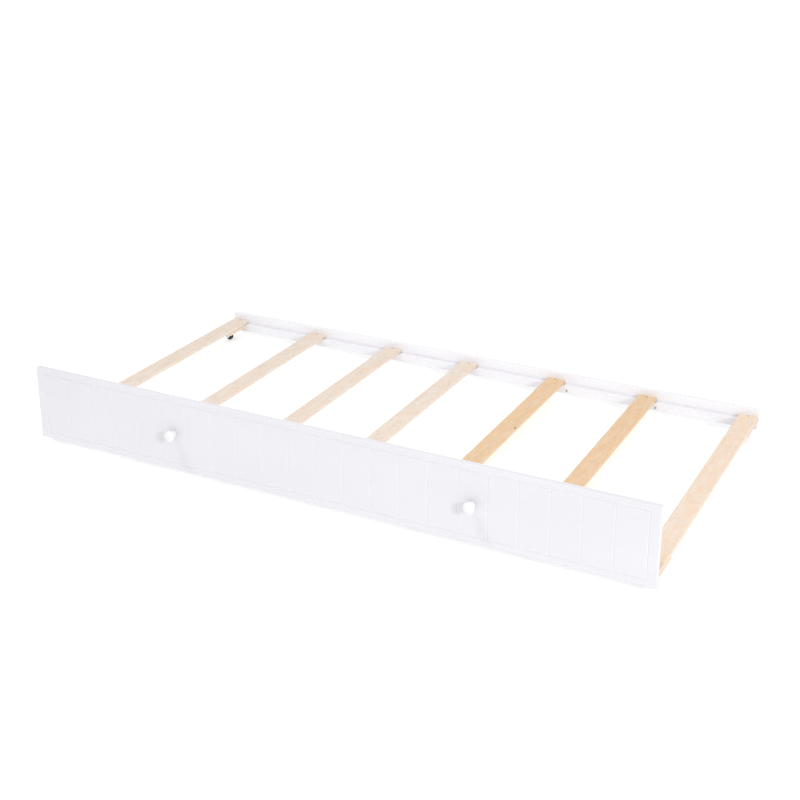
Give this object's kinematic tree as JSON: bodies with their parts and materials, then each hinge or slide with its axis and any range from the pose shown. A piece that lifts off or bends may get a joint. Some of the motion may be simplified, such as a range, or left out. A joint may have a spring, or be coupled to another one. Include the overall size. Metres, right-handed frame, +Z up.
{
  "type": "trundle bed",
  "caption": "Low slatted trundle bed on small swivel casters, with a grooved white front panel, round pull knobs and a rear rail.",
  "frame": {"origin": "on the floor, in the middle of the plan of the whole bed, knobs included", "axes": "+X to the right along the bed's length as seen from its front panel, +Y to the back, +Z up"},
  "size_m": [1.905, 1.088, 0.244],
  "materials": {
    "white_paint": "white satin paint on board",
    "knob_paint": "white satin paint on turned wood",
    "slat_wood": "bare sanded birch and pine",
    "zinc_steel": "bright zinc plate",
    "screw_steel": "plated steel",
    "hub_plastic": "moulded black plastic",
    "tyre_rubber": "matt black rubber"
  },
  "bodies": {
    "frame": {"front_panel": "white_paint", "front_cleat": "white_paint", "rear_rail": "white_paint", "rear_cleat": "white_paint", "knob_left": "knob_paint", "knob_right": "knob_paint", "knob_screw_left": "screw_steel", "knob_screw_right": "screw_steel", "slat_1": "slat_wood", "slat_screw_front_1": "screw_steel", "slat_screw_rear_1": "screw_steel", "slat_2": "slat_wood", "slat_screw_front_2": "screw_steel", "slat_screw_rear_2": "screw_steel", "slat_3": "slat_wood", "slat_screw_front_3": "screw_steel", "slat_screw_rear_3": "screw_steel", "slat_4": "slat_wood", "slat_screw_front_4": "screw_steel", "slat_screw_rear_4": "screw_steel", "slat_5": "slat_wood", "slat_screw_front_5": "screw_steel", "slat_screw_rear_5": "screw_steel", "slat_6": "slat_wood", "slat_screw_front_6": "screw_steel", "slat_screw_rear_6": "screw_steel", "slat_7": "slat_wood", "slat_screw_front_7": "screw_steel", "slat_screw_rear_7": "screw_steel", "caster_block_front_left": "slat_wood", "caster_plate_front_left": "zinc_steel", "caster_kingpin_front_left": "zinc_steel", "caster_block_front_right": "slat_wood", "caster_plate_front_right": "zinc_steel", "caster_kingpin_front_right": "zinc_steel", "caster_block_rear_left": "slat_wood", "caster_plate_rear_left": "zinc_steel", "caster_kingpin_rear_left": "zinc_steel", "caster_block_rear_right": "slat_wood", "caster_plate_rear_right": "zinc_steel", "caster_kingpin_rear_right": "zinc_steel"},
    "swivel_front_left": {"caster_fork_front_left": "zinc_steel", "caster_axle_front_left": "zinc_steel"},
    "wheel_front_left": {"wheel_hub_front_left": "hub_plastic", "wheel_tyre_front_left": "tyre_rubber"},
    "swivel_front_right": {"caster_fork_front_right": "zinc_steel", "caster_axle_front_right": "zinc_steel"},
    "wheel_front_right": {"wheel_hub_front_right": "hub_plastic", "wheel_tyre_front_right": "tyre_rubber"},
    "swivel_rear_left": {"caster_fork_rear_left": "zinc_steel", "caster_axle_rear_left": "zinc_steel"},
    "wheel_rear_left": {"wheel_hub_rear_left": "hub_plastic", "wheel_tyre_rear_left": "tyre_rubber"},
    "swivel_rear_right": {"caster_fork_rear_right": "zinc_steel", "caster_axle_rear_right": "zinc_steel"},
    "wheel_rear_right": {"wheel_hub_rear_right": "hub_plastic", "wheel_tyre_rear_right": "tyre_rubber"}
  },
  "joints": [
    {"name": "swivel_front_left", "type": "hinge", "parent": "frame", "child": "swivel_front_left", "pos_m": [-0.921, -0.4294, 0.028], "axis": [0, 0, 1], "continuous": true},
    {"name": "roll_front_left", "type": "hinge", "parent": "swivel_front_left", "child": "wheel_front_left", "pos_m": [-0.93, -0.4294, 0.013], "axis": [0, 1, 0], "continuous": true},
    {"name": "swivel_front_right", "type": "hinge", "parent": "frame", "child": "swivel_front_right", "pos_m": [0.921, -0.4294, 0.028], "axis": [0, 0, 1], "continuous": true},
    {"name": "roll_front_right", "type": "hinge", "parent": "swivel_front_right", "child": "wheel_front_right", "pos_m": [0.912, -0.4294, 0.013], "axis": [0, 1, 0], "continuous": true},
    {"name": "swivel_rear_left", "type": "hinge", "parent": "frame", "child": "swivel_rear_left", "pos_m": [-0.921, 0.4594, 0.028], "axis": [0, 0, 1], "continuous": true},
    {"name": "roll_rear_left", "type": "hinge", "parent": "swivel_rear_left", "child": "wheel_rear_left", "pos_m": [-0.93, 0.4594, 0.013], "axis": [0, 1, 0], "continuous": true},
    {"name": "swivel_rear_right", "type": "hinge", "parent": "frame", "child": "swivel_rear_right", "pos_m": [0.921, 0.4594, 0.028], "axis": [0, 0, 1], "continuous": true},
    {"name": "roll_rear_right", "type": "hinge", "parent": "swivel_rear_right", "child": "wheel_rear_right", "pos_m": [0.912, 0.4594, 0.013], "axis": [0, 1, 0], "continuous": true}
  ]
}
